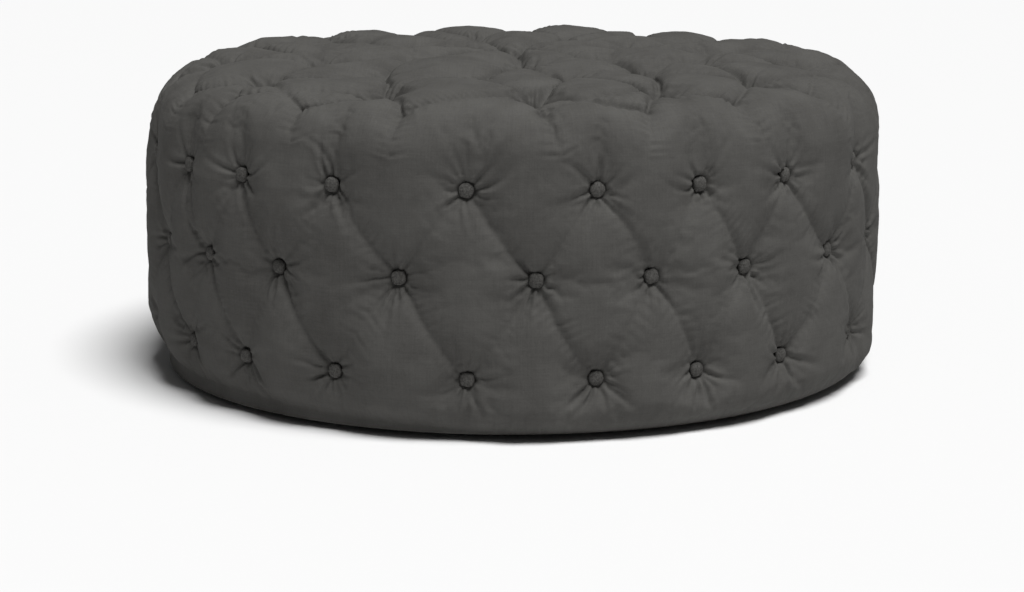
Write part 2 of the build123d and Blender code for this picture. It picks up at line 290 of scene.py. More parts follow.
# Kinds of fold: depths and widths at (start, middle, end), and the height of the gathers.
# A fold whose last depth is 0 fades out.
falling_fold = ((0.014, 0.0066, 0.014), (0.0052, 0.012, 0.0052), 0.0011)
rising_fold = ((0.014, 0.0042, 0.014), (0.0052, 0.018, 0.0052), 0.0007)
shoulder_fold = ((0.011, 0.0034, 0), (0.008, 0.02, 0.024), 0.0004)
foot_fold = ((0.011, 0.0018, 0), (0.008, 0.018, 0.022), 0)
top_fold = ((0.034, 0.019, 0.034), (0.0085, 0.0115, 0.0085), 0.0024)
edge_fold = ((0.012, 0.006, 0.034), (0.0055, 0.0095, 0.0085), 0.0016)
hanging_fold = ((0.008, 0.0026, 0), (0.006, 0.011, 0.018), 0.0012)
fold_steps = 10
fold_margin = 0.1
fold_join = 4
upper_fold_height = 0.39
gather_reach = 0.019
gather_end = 0.012
creases = []


def add_crease(start, end, fold, vary, bow=0.0, skew=0.0):
    """Adds a fold of one kind from one place to another, its middle depth times vary."""
    depths, widths, gather = fold
    depths = (depths[0], depths[1] * vary, depths[2])
    share = np.linspace(0, 1, fold_steps + 1)[:, None]
    run = end - start
    lowest = min(start[2], end[2])
    flat = lowest > drum_top - 1e-6
    across = np.cross(run, [0, 0, 1.0] if flat else (start + end) / 2 * [1, 1, 0])
    across = across / (np.linalg.norm(across) + 1e-9)
    line = start + run * share + across * bow * np.sin(math.pi * share)
    waves = [
        (rng.uniform(0.4, 1.0), rng.uniform(0.0075, 0.018), rng.uniform(0, 6.28), rng.uniform(0, 1.5))
        for _ in range(3)
    ]
    spread = 0.22 if lowest > upper_fold_height else 0.38
    creases.append((to_drum(line), depths, widths, skew * rng.choice([-1, 1]), gather, waves, spread))


# Folds of the side between the rows, and from the outer rows to the shoulder and the hem
for place in side_places["middle"]:
    for row in ("upper", "lower"):
        for other in nearest_two(place, side_places[row]):
            vary = rng.uniform(0.75, 1.25)
            falling = wrapped(turn_of(other) - turn_of(place)) * (other[2] - place[2]) < 0
            fold = falling_fold if falling else rising_fold
            add_crease(other, place, fold, vary, rng.normal(0, 0.005), 0.3)
for place in side_places["upper"]:
    turn = turn_of(place) + rng.normal(0, 0.008) / drum_radius
    end = round_axis(turn, *shoulder_point(0.85))
    add_crease(place, end, shoulder_fold, rng.uniform(0.6, 1.4))
for place in side_places["lower"]:
    turn = turn_of(place) + rng.normal(0, 0.01) / drum_radius
    end = round_axis(turn, drum_radius, roll_height * 0.6)
    add_crease(place, end, foot_fold, rng.uniform(0.6, 1.3))

# Folds of the top between the rings, and from the inner ring to the middle button
ends = []
for place in top_places["middle"]:
    ends += [(other, place) for other in nearest_two(place, top_places["outer"])]
for place in top_places["inner"]:
    ends += [(other, place) for other in nearest_two(place, top_places["middle"])]
    ends.append((place, top_places["centre"][0]))
for start, end in ends:
    add_crease(start, end, top_fold, rng.uniform(0.75, 1.2), rng.normal(0, 0.008), 0.2)

# Pinches of the shoulder between the side's columns, with folds up to the outer ring and down
pinches = []
upper = side_places["upper"]
for first, second in zip(upper, upper[1:] + upper[:1]):
    step = (turn_of(second) - turn_of(first)) % whole_turn
    turn = turn_of(first) + step * rng.uniform(0.46, 0.62)
    pinch = round_axis(turn, *shoulder_point(rng.uniform(0.7, 0.82)))
    pinches.append(pinch)
    for other in nearest_two(pinch, top_places["outer"]):
        vary = rng.uniform(0.2, 1.5)
        add_crease(pinch, other, edge_fold, vary, rng.normal(0, 0.006), 0.25)
    # The fold down is as strong as the second of the two folds up
    turn += rng.normal(0, 0.03)
    end = round_axis(turn, drum_radius, rng.uniform(0.325, 0.35))
    add_crease(pinch, end, hanging_fold, vary)


def crease_field(points, normals):
    """Depth of the folds, joined softly where several meet, and depth of their gathers."""
    total = np.zeros(len(points))
    gathers = np.zeros(len(points))
    for line, depths, widths, skew, gather, waves, spread in creases:
        low, high = line.min(0) - fold_margin, line.max(0) + fold_margin
        near = np.flatnonzero(np.all((points > low) & (points < high), axis=1))
        p = points[near]
        best = np.full(len(near), np.inf)
        share = np.zeros(len(near))
        sides = np.zeros(len(near))
        length = np.linalg.norm(line[-1] - line[0])
        for k in range(fold_steps):
            a, b = line[k], line[k + 1]
            run = b - a
            t = np.clip((p - a) @ run / (run @ run), 0, 1)
            gap = p - (a + t[:, None] * run)
            d = np.linalg.norm(gap, axis=1)
            closer = d < best
            best = np.where(closer, d, best)
            share = np.where(closer, (k + t) / fold_steps, share)
            side = np.einsum("ij,ij->i", np.cross(run, normals[near]), gap)
            sides = np.where(closer, np.sign(side), sides)
        middle = np.sin(math.pi * share)
        if depths[2]:
            ends = depths[0] * (1 - share) + depths[2] * share
            depth = ends + (depths[1] - ends) * middle**0.7
        else:
            depth = depths[0] * (1 - share) ** math.log2(depths[0] / depths[1])
        width_ends = widths[0] * (1 - share) + widths[2] * share
        width = (width_ends + (widths[1] - width_ends) * middle) * (1 + skew * sides)
        sharp = hump(best, width, 1.05 + 0.5 * middle)
        broad = hump(best, 2.3 * width + 0.007)
        total[near] += (depth * ((1 - spread) * sharp + spread * broad)) ** fold_join
        if gather:
            along = share * length + 0.25 * best
            wave = sum(
                size * (2 * np.abs(np.sin(math.pi * along / pitch + phase + sides * lag)) ** 0.7 - 1.3)
                for size, pitch, phase, lag in waves
            )
            from_start, to_end = share * length, (1 - share) * length
            inside = share_above(from_start, 0, gather_end) * share_above(to_end, 0, gather_end)
            fade = hump(best, gather_reach, 1.7) * np.clip(best / 0.003, 0.25, 1)
            gathers[near] -= gather * wave * fade * inside * (1 - 0.35 * middle)
    return total ** (1 / fold_join), gathers


# A button's seat and its puckers, which start at its edge and grow wider outwards
seat_radius = 0.0118
pucker_start = 0.008
pucker_growth = 0.042
pucker_ridge = 0.42
draw_reach = 0.058
draw_pull = 0.5
draw_over_edge = 0.12


def near_to(points, place, distance):
    """Indices of the points in a box round a place."""
    return np.flatnonzero(np.all(np.abs(points - place) < distance, axis=1))


def button_field(points, places, depth, reach, pocket):
    """Depth of the pits round the buttons."""
    total = np.zeros(len(points))
    for place in places:
        near = near_to(points, place, 4 * reach)
        d = np.linalg.norm(points[near] - place, axis=1)
        pit = depth * hump(d, reach, 1.15)
        seat = pocket * hump(d, seat_radius, 8)
        total[near] = np.maximum(total[near], pit + seat)
    return total


def frames_of(place, on_top):
    """Two directions in the surface at a button."""
    turn = 0 if on_top else turn_of(place)
    return np.array([math.cos(turn), math.sin(turn), 0]), np.array([0, on_top, not on_top])


def wrinkle_field(points, places, on_top, count, depth, length, upward):
    """Irregular puckers that radiate from each button, with ridges between."""
    total = np.zeros(len(points))
    for place in places:
        across, along = frames_of(place, on_top)
        near = near_to(points, place, 2.2 * length)
        gap = points[near] - place
        x, y = gap @ across, gap @ along
        r = np.hypot(x, y)
        angle = np.arctan2(y, x)
        start = rng.uniform(0, whole_turn)
        local = np.zeros(len(near))
        for k in range(count):
            turn = start + (k + rng.uniform(-0.42, 0.42)) * whole_turn / count
            rising = 0.5 + 0.5 * math.sin(turn)
            reach = length * rng.uniform(0.35, 1.35)
            amount = depth * rng.uniform(0.35, 1.25) * (1 + (upward - 1) * rising)
            width = rng.uniform(0.0012, 0.002) + pucker_growth * r
            curl = rng.normal(0, 5.0)
            off = wrapped(angle - turn - curl * r)
            side = np.abs(r * np.sin(np.clip(off, -math.pi / 2, math.pi / 2)))
            ahead = np.cos(off) > 0
            fade = share_above(r, pucker_start, 0.004) * hump(r, reach, 2.4)
            valley = hump(side, width, 1.25)
            ridges = hump(side - 2.1 * width, 1.1 * width)
            local += ahead * amount * fade * (valley - pucker_ridge * ridges)
        total[near] += local
    return total


def rumple(points, scale, seed):
    """Soft unevenness, from -1 to 1 or so."""
    shift = Vector((seed * 7.3, seed * 3.1, seed * 5.7))
    return np.array([noise.fractal(Vector(p) * scale + shift, 0.9, 2.1, 3) for p in points.tolist()])


on_wall = np.flatnonzero((profile[:, 1] > 0.02) & (profile[:, 1] < drum_top - 1e-5))
over_shoulder = np.flatnonzero(profile[:, 1] > shoulder_centre[1] + 1e-4)


def drawn_to(turns, runs, places, on_top):
    """Draws the grid's points together round the buttons, for the puckers."""
    for place in places:
        if on_top:
            radius = radius_at(runs)
            u = radius * np.sin(turns) - place[0]
            v = -radius * np.cos(turns) - place[1]
            live = runs > disc_run - draw_over_edge
        else:
            place_run = np.interp(place[2], profile[on_wall, 1], profile_run[on_wall])
            u = wrapped(turns - turn_of(place)) * drum_radius
            v = runs - place_run
            live = runs < disc_run
        r = np.hypot(u, v)
        near = np.flatnonzero(live & (r < draw_reach) & (r > 1e-7))
        scale = 1 - draw_pull * (1 - (r[near] / draw_reach) ** 2) ** 2
        if on_top:
            x, y = place[0] + u[near] * scale, place[1] + v[near] * scale
            radius = np.hypot(x, y)
            turns[near] = np.arctan2(x, -y)
            outer = np.interp(-radius, -profile[over_shoulder, 0], profile_run[over_shoulder])
            runs[near] = np.where(radius > disc_radius, outer, disc_run + disc_radius - radius)
        else:
            turns[near] = turn_of(place) + u[near] * scale / drum_radius
            runs[near] = place_run + v[near] * scale
    return turns, runs


def padding_depth(points, normals, turns):
    """Depth of the folds, the pits and the stuffing's unevenness; and of the gathers."""
    folds, gathers = crease_field(points, normals)
    side_pits = button_field(points, all_side, 0.014, 0.02, 0.005)
    top_pits = button_field(points, all_top, 0.044, 0.021, 0.008)
    pinch_pits = button_field(points, pinches, 0.0125, 0.014, 0)
    depth = (folds**3 + side_pits**3 + top_pits**3 + pinch_pits**3) ** (1 / 3)
    radius = np.hypot(points[:, 0], points[:, 1])
    heights = points[:, 2]
    left = np.clip(-np.sin(turns), 0, 1)
    right = np.clip(np.sin(turns), 0, 1)
    near = np.clip(np.cos(turns), 0, 1)
    top_share = top_share_of(heights)
    calm = 1 - share_below(heights, 0.03, 0.02)
    depth += (0.0014 + 0.003 * top_share) * calm * rumple(points, 8.0, 1)
    depth += 0.0007 * calm * rumple(points, 30.0, 2)
    # The stuffing leans a little: the shoulder is slacker on the left than on the right
    left_share = share_above(heights, 0.3, 0.07) * left
    right_share = share_above(heights, 0.34, 0.05) * right
    depth += (0.017 * left_share + 0.007 * right_share) * share_above(radius, 0.41, 0.07)
    # The crowns of the near rim lie lower than those of the far one, and the left waist is slack
    over_rim = hump(radius - 0.43, 0.05) * top_share
    depth += 0.015 * over_rim * near**0.7
    depth += 0.0045 * hump(heights - 0.3, 0.05) * left**3
    # One far crown stands higher, and one near pillow at the left lies lower
    for x, y, width, lower in ((0.04, 0.415, 0.055, -0.009), (-0.215, -0.295, 0.07, 0.013)):
        distance = np.hypot(points[:, 0] - x, points[:, 1] - y)
        depth += lower * hump(distance, width) * top_share
    return depth, gathers


def on_grid(values, rows, columns):
    """Values of a grid between its points."""
    row = np.clip(np.floor(rows).astype(int), 0, values.shape[0] - 2)
    column = np.floor(columns).astype(int)
    following = np.minimum(column + 1, values.shape[1] - 1)
    down = (rows - row)[:, None]
    along = (columns - column)[:, None]
    near = values[row, column] * (1 - along) + values[row, following] * along
    far = values[row + 1, column] * (1 - along) + values[row + 1, following] * along
    return near * (1 - down) + far * down


def placed(name, data):
    obj = bpy.data.objects.new(name, data)
    bpy.context.scene.collection.objects.link(obj)
    return obj


def mesh_object(name, verts, groups, uv=None):
    """A smooth mesh of groups of faces, each group with one number of corners."""
    mesh = bpy.data.meshes.new(name)
    corners = np.concatenate([faces.ravel() for faces in groups])
    sizes = np.concatenate([np.full(len(faces), faces.shape[1]) for faces in groups])
    starts = np.cumsum(sizes) - sizes
    mesh.vertices.add(len(verts))
    mesh.vertices.foreach_set("co", np.asarray(verts, np.float32).ravel())
    mesh.loops.add(len(corners))
    mesh.loops.foreach_set("vertex_index", corners.astype(np.int32))
    mesh.polygons.add(len(sizes))
    mesh.polygons.foreach_set("loop_start", starts.astype(np.int32))
    mesh.update(calc_edges=True)
    mesh.validate()
    mesh.polygons.foreach_set("use_smooth", np.ones(len(sizes), bool))
    if uv is not None:
        layer = mesh.uv_layers.new(name="cloth")
        layer.data.foreach_set("uv", uv[corners].astype(np.float32).ravel())
    return placed(name, mesh)


# The trial cloth's settings, its frames, the parts of it that are held and its most movement
trial_settings = dict(
    quality=5, mass=0.25, pin_stiffness=1, vertex_group_mass="held", shrink_min=-0.028,
    tension_stiffness=18, compression_stiffness=18, shear_stiffness=6, bending_stiffness=0.3,
    tension_damping=8, compression_damping=8, shear_damping=8, air_damping=3,
    use_pressure=True, uniform_pressure_force=2.5,
)
trial_frames = 12
held_height = 0.016
held_radius = 0.0095
side_movement = 0.007
top_movement = 0.012


def trial_swelling():
    """The movement of a coarser cloth, as a grid over the side and one over the top.

    It is a little larger than its shape, held at the buttons and the hem, and pressed out
    from inside.
    """
    turns, runs, quads, disc_quads, index, disc_index = drum_grid(trial_cells_around, trial_rings)
    moved = np.zeros((len(turns), 3))
    points, normals = on_envelope(turns, runs)
    depth, _ = padding_depth(points, normals, turns)
    verts = points - normals * depth[:, None]
    cloth = mesh_object("cloth_trial", verts, [quads, disc_quads])
    held = points[:, 2] < held_height
    for place in all_side + all_top:
        held |= np.linalg.norm(points - place, axis=1) < held_radius
    group = cloth.vertex_groups.new(name="held")
    group.add([int(i) for i in np.flatnonzero(held)], 1.0, "REPLACE")
    swell = cloth.modifiers.new("swell", "CLOTH")
    for key, value in trial_settings.items():
        setattr(swell.settings, key, value)
    swell.settings.effector_weights.gravity = 0
    swell.collision_settings.use_collision = False
    swell.collision_settings.use_self_collision = False
    for step in range(1, trial_frames + 1):
        bpy.context.scene.frame_set(step)
    shown = cloth.evaluated_get(bpy.context.evaluated_depsgraph_get())
    rested = np.empty(verts.size, np.float32)
    shown.data.vertices.foreach_get("co", rested)
    moved = rested.reshape(-1, 3) - verts
    bpy.context.scene.frame_set(1)
    bpy.data.objects.remove(cloth)
    top_share = top_share_of(points[:, 2])[:, None]
    cap = side_movement + (top_movement - side_movement) * top_share
    size = np.linalg.norm(moved, axis=1)[:, None]
    moved = moved / np.sqrt(1 + (size / cap) ** 2)
    around = np.concatenate([moved[index], moved[index][:, :1]], axis=1)
    return around, moved[disc_index]


def swelling_at(turns, runs, around, over):
    """The movement of the coarser cloth at any places of the drum."""
    rows = np.interp(runs, trial_rings, np.arange(len(trial_rings)))
    columns = turns % whole_turn / whole_turn * (around.shape[1] - 1)
    moved = on_grid(around, rows, columns)
    # On the top, the place in the square grid that is bent into the disc
    top = np.flatnonzero(runs > disc_run)
    radius = (disc_run + disc_radius - runs[top]) / disc_radius
    x, y = np.sin(turns[top]), -np.cos(turns[top])
    wide = np.abs(x) >= np.abs(y)
    slope = np.arctan(np.where(wide, y, x) / np.where(wide, x, y))
    signed = radius * np.sign(np.where(wide, x, y))
    other = signed * slope * 4 / math.pi
    a, b = np.where(wide, signed, other), np.where(wide, other, signed)
    half = (over.shape[0] - 1) / 2
    rows = np.clip((a + 1) * half, 0, 2 * half)
    columns = np.clip((b + 1) * half, 0, 2 * half)
    moved[top] = on_grid(over, rows, columns)
    return moved


def lined(verts, quads, disc_quads, index):
    """Closes the cover from the hem's inner edge up behind the cloth and over the foam."""
    around_hem = index.shape[1]
    columns = around_hem // 8
    rings = [(inner_wall, height) for height in (hem_top, 0.12, 0.23, inner_bevel_foot)]
    rings += [(radius, inner_ceiling) for radius in (inner_bevel_radius, 0.34, 0.22, 0.1, 0.03)]
    turn = whole_turn * np.arange(around_hem) / around_hem
    edge = len(verts) + np.arange(around_hem)
    count = len(verts) + around_hem
    added = [round_axis(turn, hem_inner, hem_top)]
    hem_quads = np.stack([index[0], edge, np.roll(edge, -1), np.roll(index[0], -1)], 1)
    groups = [quads, disc_quads, hem_quads]
    turn = whole_turn * np.arange(columns) / columns
    last = None
    for radius, height in rings:
        ring = count + np.arange(columns)
        count += columns
        added.append(round_axis(turn, radius, height))
        if last is None:
            # Each column of the lining takes up several of the hem's
            spans = edge.reshape(columns, -1)
            spans = np.concatenate([spans, np.roll(spans[:, :1], -1, axis=0)], axis=1)
            groups.append(np.concatenate([spans, np.roll(ring, -1)[:, None], ring[:, None]], 1)[:, ::-1])
        else:
            groups.append(np.stack([last, ring, np.roll(ring, -1), np.roll(last, -1)], 1))
        last = ring
    added.append(np.array([[0, 0, inner_ceiling]]))
    groups.append(np.stack([last, np.full(columns, count), np.roll(last, -1)], 1))
    return np.concatenate([verts, *added]), groups


# The fine cover: its envelope, less the folds, pits and puckers, plus the swelling
around, over = trial_swelling()
turns, runs, quads, disc_quads, index, _ = drum_grid(cells_around, profile_run)
turns, runs = drawn_to(turns, runs, all_side, False)
turns, runs = drawn_to(turns, runs, all_top, True)
points, normals = on_envelope(turns, runs)
depth, gathers = padding_depth(points, normals, turns)
depth += gathers
depth += wrinkle_field(points, side_places["upper"], False, 15, 0.0046, 0.038, 0.9)
depth += wrinkle_field(points, side_places["middle"] + side_places["lower"], False, 15, 0.0046, 0.038, 0.7)
depth += wrinkle_field(points, all_top, True, 12, 0.005, 0.045, 1.0)

# Pleats where the cloth is drawn under the base
pleat_height = 0.0016
hem_unevenness = 0.0014
pleat = sum(
    size * np.abs(np.sin(turns * number / 2 + phase)) ** 0.8
    for size, number, phase in ((0.5, 173, 0.3), (0.35, 97, 1.9), (0.4, 251, 4))
)
pleat_share = share_below(points[:, 2], 0.045, 0.035) * share_above(runs, 0.03, 0.05)
depth += pleat_height * pleat * pleat_share * (0.6 + 0.4 * rumple(points, 9.0, 4))
under = (points[:, 2] < hem_height + 1e-4) & (runs < disc_run / 2)
depth = np.where(under, np.clip(depth, 0, hem_unevenness), depth)

# The stuffing settles a little
most_rise = 0.006
settling = 0.0022
verts = points - normals * np.maximum(depth, -most_rise)[:, None] + swelling_at(turns, runs, around, over)
settled = share_above(verts[:, 2], hem_height, 0.02)
verts -= normals * (settling * settled)[:, None]

# The pillows of the top's near half are sat flatter
flat_height = 0.417
near_half = share_below(verts[:, 1], 0, 0.25)
verts[:, 2] -= 0.5 * near_half * np.clip(verts[:, 2] - flat_height, 0, None)

# The left foot is slacker, and the cloth stays outside the foam and the frame
foot_slack = 0.032
from_axis = np.hypot(verts[:, 0], verts[:, 1])
foot_share = share_below(verts[:, 2], 0.09, 0.08) ** 1.5 * share_above(verts[:, 2], hem_top, 0.004)
slack = from_axis - foot_slack * np.clip(-np.sin(turns), 0, 1) ** 0.6 * foot_share
low = (verts[:, 2] > hem_top) & (verts[:, 2] < inner_bevel_foot + 0.012)
kept_out = np.maximum(slack, inner_wall + foam_clearance)
wall = np.where(low & (from_axis > hem_inner), kept_out, from_axis)
verts[:, :2] *= (wall / np.maximum(from_axis, 1e-6))[:, None]
lid = (wall < inner_bevel_radius) & (verts[:, 2] > inner_bevel_foot)
verts[lid, 2] = np.maximum(verts[lid, 2], inner_ceiling + 0.004)

on_disc = runs > disc_run
unrolled = np.stack([turns % whole_turn * drum_radius, runs], 1)
cloth_uv = np.where(on_disc[:, None], points[:, :2], unrolled)
verts, face_groups = lined(verts, quads, disc_quads, index)
cloth_uv = np.concatenate([cloth_uv, verts[len(cloth_uv) :, :2]])
cover = mesh_object("padded_cover", verts, face_groups, cloth_uv)
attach(cover, "root")
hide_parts("tufted_cover")

# Points of a covered button from its back to the crown: radius, and height along its axis
button_rows = (
    (0.003, -0.0052), (0.007, -0.0047), (0.0089, -0.0034), (0.0094, -0.0018), (0.0094, -0.0002),
    (0.009, 0.0012), (0.008, 0.0023), (0.0062, 0.0032), (0.0041, 0.0037), (0.002, 0.0039),
)
button_sides = 28
crown_rise = 0.0001


def buttons_object(name, centres, outs, replaced):
    """Domed buttons covered in the same cloth, each a little turned, tilted and squarish."""
    verts, quads, caps, uv = [], [], [], []
    for centre, out in zip(centres, outs):
        tilt = Vector([rng.normal(0, 0.06) for _ in range(3)])
        out = (Vector(out).normalized() + tilt).normalized()
        upright = Vector((0, 0, 1)) if abs(out.z) < 0.5 else Vector((0, 1, 0))
        first = upright.cross(out).normalized()
        second = out.cross(first)
        square = rng.uniform(0.02, 0.07)
        skewed = rng.normal(0, 0.25)
        ripples = [(rng.integers(4, 9), rng.uniform(0, 6.3), rng.uniform(0.4, 1.0)) for _ in range(3)]
        base = len(verts)
        for radius, rise in button_rows:
            edge = max(0, (radius - 0.005) / 0.005)
            for k in range(button_sides):
                angle = whole_turn * k / button_sides
                wave = sum(size * math.sin(number * angle + phase) for number, phase, size in ripples)
                squarish = 1 - square * edge * math.cos(4 * (angle + skewed))
                r = radius * squarish + 0.00012 * wave * edge
                z = rise + 0.00016 * wave * edge
                co = Vector(centre) + (first * math.cos(angle) + second * math.sin(angle)) * r + out * z
                verts.append(co[:])
                uv.append((r * math.cos(angle) + centre[0], r * math.sin(angle) + centre[2] + centre[1]))
        last = base + (len(button_rows) - 1) * button_sides
        for start in range(base, last, button_sides):
            for k in range(button_sides):
                a, b = start + k, start + (k + 1) % button_sides
                quads.append((a, b, b + button_sides, a + button_sides))
        back, front = len(verts), len(verts) + 1
        for z in (button_rows[0][1], button_rows[-1][1] + crown_rise):
            verts.append((Vector(centre) + out * z)[:])
            uv.append((centre[0], centre[1] + centre[2]))
        for k in range(button_sides):
            following = (k + 1) % button_sides
            caps.append((base + following, base + k, back))
            caps.append((last + k, last + following, front))
    obj = mesh_object(name, verts, [np.array(quads), np.array(caps)], np.array(uv))
    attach(obj, "root")
    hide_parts(replaced)
    return obj


button_objects = []
for name, row in side_rows.items():
    outs = [(p[0], p[1], 0) for p in row]
    replaced = f"side_buttons_{name}_row"
    button_objects.append(buttons_object(f"covered_buttons_{name}_row", row, outs, replaced))
for name, ring in top_rings.items():
    outs = [(0, 0, 1)] * len(ring)
    button_objects.append(buttons_object(f"covered_buttons_top_{name}", ring, outs, f"top_buttons_{name}"))


def turned_piece(name, section, replaced, uneven, cells=256):
    """A ring or disc turned from a closed section of (radius, height), a little uneven."""
    turn = whole_turn * np.arange(cells) / cells
    verts, groups = [], []
    for k, (radius, height) in enumerate(section):
        following = (k + 1) % len(section)
        verts.append(round_axis(turn, radius, height))
        here = k * cells + np.arange(cells)
        there = following * cells + np.arange(cells)
        if radius > 0 or section[following][0] > 0:
            groups.append(np.stack([here, np.roll(here, -1), np.roll(there, -1), there], 1))
    verts = np.concatenate(verts)
    middle = np.array([0, 0, 1.0]) * verts[:, 2:].mean() + verts * [0.96, 0.96, 0]
    inward = middle - verts
    inward /= np.linalg.norm(inward, axis=1)[:, None] + 1e-9
    verts += inward * uneven * (0.5 + 0.5 * np.clip(rumple(verts, 22.0, 9), -1, 1))[:, None]
    obj = mesh_object(name, verts, groups)
    bm = bmesh.new()
    bm.from_mesh(obj.data)
    bmesh.ops.remove_doubles(bm, verts=bm.verts, dist=1e-6)
    bmesh.ops.recalc_face_normals(bm, faces=bm.faces)
    bm.to_mesh(obj.data)
    bm.free()
    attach(obj, "root")
    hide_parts(replaced)
    return obj


outer_top, inner_top, inner_foot, outer_foot = range(4)


def corner(radius, height, size, which, steps=5):
    """Points of a section's rounded corner, in the order of a quarter turn."""
    middle_radius = radius + size if which in (inner_top, inner_foot) else radius - size
    middle_height = height + size if which in (inner_foot, outer_foot) else height - size
    turns = [math.pi / 2 * (which + k / steps) for k in range(steps + 1)]
    return [(middle_radius + size * math.cos(t), middle_height + size * math.sin(t)) for t in turns]


def between(start, end, steps):
    """Even points between two ends, without the ends."""
    return [tuple(a + (b - a) * k / steps for a, b in zip(start, end)) for k in range(1, steps)]


# Foam of the side and the top, and the dust cover, each in its CAD solid's space
foam_edge = 0.002
foam_foot_edge = 0.003
foam_thickness = 0.02
side_low, side_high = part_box("side_foam")
foam_radius = side_high[0]
foam_inside = foam_radius - foam_thickness
section = corner(foam_inside, side_low[2], foam_edge, inner_foot)
section += corner(foam_radius, side_low[2], foam_foot_edge, outer_foot)
section += between(section[-1], (foam_radius, side_high[2] - foam_edge), 24)
section += corner(foam_radius, side_high[2], foam_edge, outer_top)
section += corner(foam_inside, side_high[2], foam_edge, inner_top)
side_foam = turned_piece("foam_round_side", section, "side_foam", 0.0006)

# The bevel's own corners are left out, so that it is a little blunt
bevel = 0.026
top_low, top_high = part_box("top_foam")
bevel_foot = (foam_radius, top_high[2] - bevel)
bevel_head = (foam_radius - bevel, top_high[2])
section = [(0, top_low[2])] + between((0, top_low[2]), (foam_radius - foam_edge, top_low[2]), 12)
section += corner(foam_radius, top_low[2], foam_edge, outer_foot)
section += between(section[-1], bevel_foot, 3) + between(bevel_foot, bevel_head, 6)
section += between(bevel_head, (0, top_high[2]), 20) + [(0, top_high[2])]
top_foam = turned_piece("foam_on_deck", section, "top_foam", 0.0008)

# The dust cover's border is turned in, so it lies a little lower than its middle
dust_turn_in = 0.014
dust_step = (0.0008, 0.0002)
dust_edge = 0.0005
dust_low, dust_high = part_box("dust_cover")
dust_radius = dust_high[0]
border = (dust_radius - dust_turn_in, dust_low[2] + dust_step[1])
section = [(0, border[1])] + between((0, border[1]), border, 24)
section += [border, (border[0] + dust_step[0], dust_low[2])]
section += between(section[-1], (dust_radius - dust_edge, dust_low[2]), 3)
section += corner(dust_radius, dust_low[2], dust_edge, outer_foot)
section += corner(dust_radius, dust_high[2], dust_edge, outer_top)
section += between(section[-1], (0, dust_high[2]), 24) + [(0, dust_high[2])]
dust_cloth = turned_piece("black_dust_cloth", section, "dust_cover", 0.00012)


def material(name):
    """A new material with its nodes and its shader."""
    mat = bpy.data.materials.new(name)
    mat.use_nodes = True
    return mat, mat.node_tree, mat.node_tree.nodes["Principled BSDF"]


def surface(name):
    """A new material with the same and the object's own coordinates."""
    mat, tree, shader = material(name)
    return mat, tree, shader, tree.nodes.new("ShaderNodeTexCoord").outputs["Object"]


def set_inputs(node, **values):
    """Sets a node's sockets by their names, with _ for each space."""
    for name, value in values.items():
        node.inputs[name.replace("_", " ")].default_value = value


def math_node(tree, operation, a, b=None):
    node = tree.nodes.new("ShaderNodeMath")
    node.operation = operation
    for socket, value in zip(node.inputs, (a, b)):
        if value is None:
            continue
        if isinstance(value, (int, float)):
            socket.default_value = value
        else:
            tree.links.new(value, socket)
    return node.outputs[0]


def scaled(tree, vector, scale):
    node = tree.nodes.new("ShaderNodeVectorMath")
    node.operation = "MULTIPLY"
    tree.links.new(vector, node.inputs[0])
    node.inputs[1].default_value = scale
    return node.outputs[0]


def components(tree, vector):
    node = tree.nodes.new("ShaderNodeSeparateXYZ")
    tree.links.new(vector, node.inputs[0])
    return node.outputs


def noise_node(tree, vector, scale, detail, roughness, distortion=0.0):
    """Noise of one scale, or of a scale for each axis."""
    if isinstance(scale, tuple):
        vector, scale = scaled(tree, vector, scale), 1.0
    node = tree.nodes.new("ShaderNodeTexNoise")
    tree.links.new(vector, node.inputs["Vector"])
    set_inputs(node, Scale=scale, Detail=detail, Roughness=roughness, Distortion=distortion)
    return node.outputs["Fac"]


def ramp(tree, fac, stops):
    node = tree.nodes.new("ShaderNodeValToRGB")
    tree.links.new(fac, node.inputs[0])
    elements = node.color_ramp.elements
    while len(elements) < len(stops):
        elements.new(0.5)
    for element, (position, colour) in zip(elements, stops):
        element.position = position
        element.color = (*colour, 1)
    return node.outputs[0]


def bump(tree, height, distance, strength, normal=None):
    node = tree.nodes.new("ShaderNodeBump")
    set_inputs(node, Strength=strength, Distance=distance)
    tree.links.new(height, node.inputs["Height"])
    if normal is not None:
        tree.links.new(normal, node.inputs["Normal"])
    return node.outputs[0]


def mixed(tree, parts):
    """A weighted sum of values."""
    total = None
    for value, weight in parts:
        term = math_node(tree, "MULTIPLY", value, weight)
        total = term if total is None else math_node(tree, "ADD", total, term)
    return total


def crossed_waves(tree, vector):
    """The bumps of a plain weave or of a pattern of pressed points."""
    across, along = (math_node(tree, "SINE", part) for part in components(tree, vector)[:2])
    return math_node(tree, "MULTIPLY", across, along)


def crossed_grain(tree, vector, fine, coarse, roughness):
    """Threads that run along and across a cloth."""
    warp = noise_node(tree, vector, (fine, coarse, 0), 3, roughness)
    weft = noise_node(tree, vector, (coarse, fine, 0), 3, roughness)
    return mixed(tree, [(warp, 0.5), (weft, 0.5)])


def link_shader(tree, shader, colour, value, rough, rough_span, normal):
    roughness = math_node(tree, "ADD", math_node(tree, "MULTIPLY", value, rough_span), rough)
    for name, output in (("Base Color", colour), ("Roughness", roughness), ("Normal", normal)):
        tree.links.new(output, shader.inputs[name])


